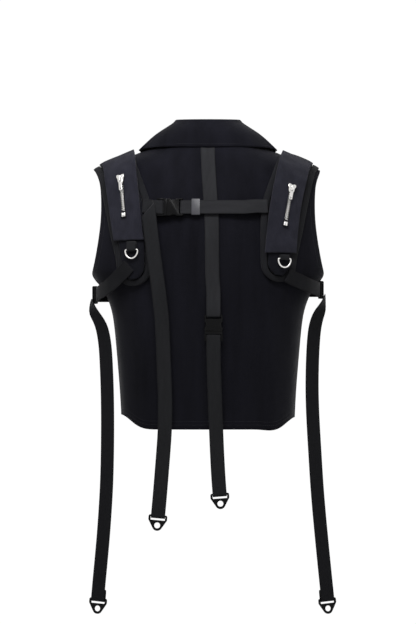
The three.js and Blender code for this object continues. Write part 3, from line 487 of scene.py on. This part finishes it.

# The pockets: navy twill, a little lighter and rougher than the vest's, sewn to the pads on all four
# sides, with a slanting zip in each. The cloth puckers all over in a gentle ripple.
pocket_finish = Finish(
    "pocket_cloth", Roughness=0.7, Specular_IOR_Level=0.12, Sheen_Weight=0.15, Sheen_Roughness=0.4
)
place = pocket_finish.place()
x, y, z = pocket_finish.split(place)
line = (x + y * 0.6 + z).wave(0.0014)
yarn = (x - z * 0.6).wave(0.0009)
rubbed = pocket_finish.cloudy(pocket_finish.stretched(place, (60, 60, 25)), 1.0, 6.0, 0.65)
patches = pocket_finish.cloudy(place, 22.0, 2.0)
share = line * 0.22 + yarn * 0.1 + rubbed * 0.75 + patches * 0.5 - 0.35
pocket_finish.put(
    Base_Color=pocket_finish.between(share, (0.0065, 0.0065, 0.012), (0.046, 0.046, 0.070)),
    Roughness=0.85 - rubbed * 0.25,
)
pocket_finish.raise_by(line * 0.5 + yarn * 0.3 + rubbed * 0.9, 0.0006, 0.7)
for side, sign in (("left", -1), ("right", 1)):
    bm = merged(f"pocket_{side}")
    crisp(bm)
    bmesh.ops.subdivide_edges(bm, edges=bm.edges, cuts=1, use_grid_fill=True)
    low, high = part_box(f"pocket_{side}")
    for v in bm.verts:
        rise = math.sin(v.co.z * 210 + v.co.x * 120) * math.sin(v.co.x * 95 + v.co.z * 40)
        v.co.y -= 0.0007 * rise
    pocket = rounded(object_of(f"zip_pocket_{side}", bm, pocket_finish.material, "vest"), 2)
    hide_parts(f"pocket_{side}")

# The zips: bright nickel teeth on a narrow tape, each with a stop at its lower end, and a slider with
# a swinging pull. Slider and pull are die cast, with rounded edges.
nickel_finish = Finish("nickel", Metallic=1.0, Roughness=0.2)
scuffs = nickel_finish.cloudy(nickel_finish.place(), 420.0, 5.0, 0.7)
tarnish = nickel_finish.cloudy(nickel_finish.place(), 60.0, 3.0)
nickel_finish.put(
    Base_Color=nickel_finish.between(tarnish, (0.42, 0.41, 0.40), (0.88, 0.87, 0.85)),
    Roughness=0.14 + scuffs * 0.22,
)
nickel_finish.raise_by(scuffs, 0.00008, 0.35)
nickel = nickel_finish.material


def cast(name, node, material, body, edge=0.0004, segments=2):
    """A hard piece that starts as the frame's solid, with its flat faces whole and its edges eased."""
    bm = bmesh.new()
    bm.from_mesh(nodes[node].data)
    bmesh.ops.remove_doubles(bm, verts=bm.verts, dist=2e-6)
    bmesh.ops.dissolve_limit(bm, angle_limit=0.02, verts=bm.verts, edges=bm.edges)
    piece = object_of(name, bm, material, body)
    eased = piece.modifiers.new("eased", "BEVEL")
    eased.width, eased.segments, eased.limit_method = edge, segments, "ANGLE"
    eased.angle_limit, eased.harden_normals = math.radians(32), True
    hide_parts(node)
    return piece


tape_finish = Finish("zip_tape", Roughness=0.85, Specular_IOR_Level=0.2)
x, y, z = tape_finish.split(tape_finish.place())
tape_weave = x.wave(0.0008) * z.wave(0.0008)
tape_finish.put(Base_Color=tape_finish.between(tape_weave, (0.004, 0.004, 0.006), (0.02, 0.02, 0.026)))
tape_finish.raise_by(tape_weave, 0.0003, 0.6)
joints = {joint["name"]: joint for joint in frame["joints"]}
for side in ("left", "right"):
    cast(f"zip_slider_body_{side}", f"zip_slider_{side}", nickel, f"zip_slider_{side}", 0.0005)
    cast(f"zip_pull_tag_{side}", f"zip_pull_{side}", nickel, f"zip_pull_{side}", 0.0003)
    tape = cast(f"zip_tape_{side}", f"zip_chain_{side}", tape_finish.material, "vest", 0.0003)
    down = Vector(joints[f"zip_{side}_slide"]["axis"]).normalized()
    across = Vector(joints[f"zip_pull_{side}_swing"]["axis"]).normalized()
    out = across.cross(down).normalized()
    out = out if out.y < 0 else -out
    points = [v.co for v in nodes[f"zip_chain_{side}"].data.vertices]
    middle = sum(points, Vector()) / len(points)
    reach = [(p - middle).dot(down) for p in points]
    spread = [(p - middle).dot(across) for p in points]
    centre = middle + across * (max(spread) + min(spread)) / 2
    face = max((p - middle).dot(out) for p in points)
    bm = bmesh.new()
    turn = Matrix((across, down, out)).transposed().to_4x4()
    pitch = 0.0019
    teeth = int((max(reach) - min(reach) - 0.012) / pitch)
    tape_face = face - 0.0015
    for i in range(teeth):
        side_step = 0.0009 if i % 2 else -0.0009
        at = centre + down * (min(reach) + 0.003 + pitch * i) + across * side_step + out * (tape_face + 0.0001)
        size = Matrix.Diagonal((0.0042, 0.0012, 0.0016, 1))
        bmesh.ops.create_cube(bm, size=1, matrix=Matrix.Translation(at) @ turn @ size)
    for stop in (-0.0018, 0.0018):
        at = centre + down * (max(reach) - 0.0042) + across * stop + out * (face + 0.0001)
        size = Matrix.Diagonal((0.0033, 0.0072, 0.0012, 1))
        bmesh.ops.create_cube(bm, size=1, matrix=Matrix.Translation(at) @ turn @ size)
    bmesh.ops.bevel(
        bm, geom=bm.edges[:], offset=0.00022, segments=1, profile=0.5, affect="EDGES", material=-1
    )
    object_of(f"zip_teeth_{side}", bm, nickel, "vest")


# The D-rings: round nickel wire bent to a half circle and welded to a straight bar, which a tab of
# webbing sewn under the pocket's lower edge holds to the pad.
def bent_wire(bm, points, radius, sides=14):
    """Round wire along a closed line of points, joined hoop by hoop."""
    hoops = []
    for i, point in enumerate(points):
        along = (points[(i + 1) % len(points)] - points[i - 1]).normalized()
        turn = along.to_track_quat("Z", "Y").to_matrix().to_4x4()
        made = bmesh.ops.create_circle(
            bm, segments=sides, radius=radius, matrix=Matrix.Translation(point) @ turn
        )["verts"]
        hoops.append(list({e for v in made for e in v.link_edges}))
    for one, other in zip(hoops, hoops[1:] + hoops[:1]):
        bmesh.ops.bridge_loops(bm, edges=one + other)
    bmesh.ops.recalc_face_normals(bm, faces=bm.faces)


RING_WIRE = 0.0032
for side in ("left", "right"):
    swing = joints[f"d_ring_{side}_swing"]
    bar, across = Vector(swing["pos_m"]), Vector(swing["axis"]).normalized()
    points = [v.co - bar for v in nodes[f"d_ring_{side}"].data.vertices]
    hang = sum(points, Vector())
    down = (hang - across * hang.dot(across)).normalized()
    half = max(p.dot(across) for p in points) - RING_WIRE / 2
    drop = max(p.dot(down) for p in points) - RING_WIRE / 2
    line = [bar + across * half * share for share in (-0.8, -0.4, 0, 0.4, 0.8)]
    corner = 0.0022
    line += [bar + across * half * 0.985 + down * corner * 0.35]
    for i in range(0, 21):
        angle = math.pi * i / 20
        line.append(bar + across * half * math.cos(angle) + down * (corner + (drop - corner) * math.sin(angle)))
    line += [bar - across * half * 0.985 + down * corner * 0.35]
    bm = bmesh.new()
    bent_wire(bm, line, RING_WIRE / 2)
    ring = rounded(object_of(f"wire_ring_{side}", bm, nickel, f"d_ring_{side}"))
    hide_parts(f"d_ring_{side}")
    tab_node = f"ring_tab_{side}"
    tab = woven_band(f"tab_of_ring_{side}", cross_sections(tab_node), webbing, thick=0.001)
    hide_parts(tab_node)

# The sewn-on webbing: the strap down the middle of the back, the strap across the shoulder blades and
# its anchor on the left pad, and the webs from the pads and the fronts to the side buckles.
# A copy of the webbing with painted light: the same webbing made paler for the centre and cross straps on the
# upper back, where the lamps fall strongest.
painted_lit_webbing = ribbed_webbing("painted_lit_webbing", (0.010, 0.0102, 0.012), (0.058, 0.0585, 0.066))
for name in (
    "centre_strap", "cross_strap", "cross_anchor_web", "side_web_left", "side_web_right",
    "side_front_web_left", "side_front_web_right",
):
    # The centre and cross straps take the paler webbing copy, which is painted light.
    material = painted_lit_webbing if name in ("centre_strap", "cross_strap") else webbing
    # The side webs take the darker webbing copy, which is painted shade.
    if name.startswith("side"):
        material = painted_shade_webbing
    band = woven_band(f"{name}_band", cross_sections(name), material)
    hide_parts(name)

# The buckles, the keeper on the cross strap, the end rings and the two front buttons: black moulded
# nylon, glossy, with rounded edges and faint flow marks.
plastic_finish = Finish("plastic", Roughness=0.15, Specular_IOR_Level=0.1)
flow = plastic_finish.cloudy(plastic_finish.stretched(plastic_finish.place(), (30, 30, 90)), 1.0, 3.0)
grain = plastic_finish.cloudy(plastic_finish.place(), 900.0, 2.0)
plastic_finish.put(
    Base_Color=plastic_finish.between(flow, (0.0012, 0.0012, 0.0016), (0.0045, 0.0045, 0.0055)),
    Roughness=0.1 + flow * 0.1 + grain * 0.06,
)
plastic_finish.raise_by(grain * 0.6 + flow, 0.00012, 0.4)
plastic = plastic_finish.material
for name in ("centre", "cross", "side_left", "side_right"):
    first, second = ("right", "left") if name == "centre" else ("lower", "upper")
    cast(f"{name}_buckle_socket", f"{name}_socket", plastic, "vest", 0.0007, 3)
    cast(f"{name}_buckle_plug", f"{name}_plug", plastic, "vest", 0.0006, 3)
    for prong in (first, second):
        node = f"{name}_prong_{prong}"
        cast(f"{name}_buckle_prong_{prong}", node, plastic, node, 0.0005)
    nodes[f"{name}_end_ring"].data.materials[0] = plastic
# The keeper's paler colour is a painted reflection: its base colour, from 0.035 to 0.11, stands in for polished
# plastic catching the light, and noise mottles it.
keeper_finish = Finish("plastic_with_painted_reflection", Roughness=0.3, Specular_IOR_Level=0.4)
mottle = keeper_finish.cloudy(keeper_finish.place(), 60.0, 3.0)
keeper_finish.put(
    Base_Color=keeper_finish.between(mottle, (0.035, 0.035, 0.042), (0.11, 0.11, 0.13)),
    Roughness=0.24 + mottle * 0.2,
)
keeper_finish.raise_by(mottle, 0.0001, 0.3)
cast("cross_strap_keeper", "cross_keeper", keeper_finish.material, "cross_keeper", 0.0006, 3)
for node in ("front_button_1", "front_button_2"):
    cast(f"sewn_{node}", node, plastic, "vest", 0.0006, 3)

# The room: a plain pale floor that sweeps up into a plain pale wall all round, and two soft lamps.
FLOOR_Z, ROOM = -1.3, 24.0
bm = bmesh.new()
profile = [(0, FLOOR_Z), (ROOM - 2, FLOOR_Z)]
profile += [
    (ROOM - 2 + 2 * math.sin(a), FLOOR_Z + 2 - 2 * math.cos(a)) for a in (math.pi / 16 * i for i in range(1, 9))
]
profile += [(ROOM, 14.0), (0, 18.0)]
line = [bm.verts.new((r, 0, z)) for r, z in profile]
walls = [bm.edges.new(pair) for pair in zip(line, line[1:])]
bmesh.ops.spin(
    bm, geom=line + walls, cent=(0, 0, 0), axis=(0, 0, 1), angle=2 * math.pi, steps=48, use_merge=True
)
bmesh.ops.remove_doubles(bm, verts=bm.verts, dist=1e-4)
room_paint = Finish("room_paint", Roughness=1.0, Specular_IOR_Level=0.0)
room_paint.surface.inputs["Base Color"].default_value = (0.8, 0.8, 0.8, 1)
room_paint.surface.inputs["Emission Color"].default_value = (1, 1, 1, 1)
room_paint.surface.inputs["Emission Strength"].default_value = 1.0
mesh = bpy.data.meshes.new("room")
bm.to_mesh(mesh)
bm.free()
mesh.materials.append(room_paint.material)
room = bpy.data.objects.new("room", mesh)
scene.collection.objects.link(room)
room.visible_diffuse = room.visible_shadow = False

world = bpy.data.worlds.new("soft daylight")
world.use_nodes = True
world.node_tree.nodes["Background"].inputs["Color"].default_value = (0.95, 0.97, 1, 1)
world.node_tree.nodes["Background"].inputs["Strength"].default_value = 0.04
scene.world = world


def soft_lamp(name, place, aim, size, watts):
    lamp = bpy.data.lights.new(name, "AREA")
    lamp.shape, lamp.size, lamp.size_y, lamp.energy = "RECTANGLE", *size, watts
    holder = bpy.data.objects.new(name, lamp)
    holder.location = place
    holder.visible_camera = False
    holder.rotation_euler = (Vector(aim) - Vector(place)).to_track_quat("-Z", "Y").to_euler()
    scene.collection.objects.link(holder)


soft_lamp("key", (-0.22, -0.85, 0.8), (0, -0.1, 0.0), (0.9, 0.4), 10.5)
soft_lamp("fill", (1.3, -2.6, 0.2), (0, -0.1, -0.2), (1.4, 1.4), 4)
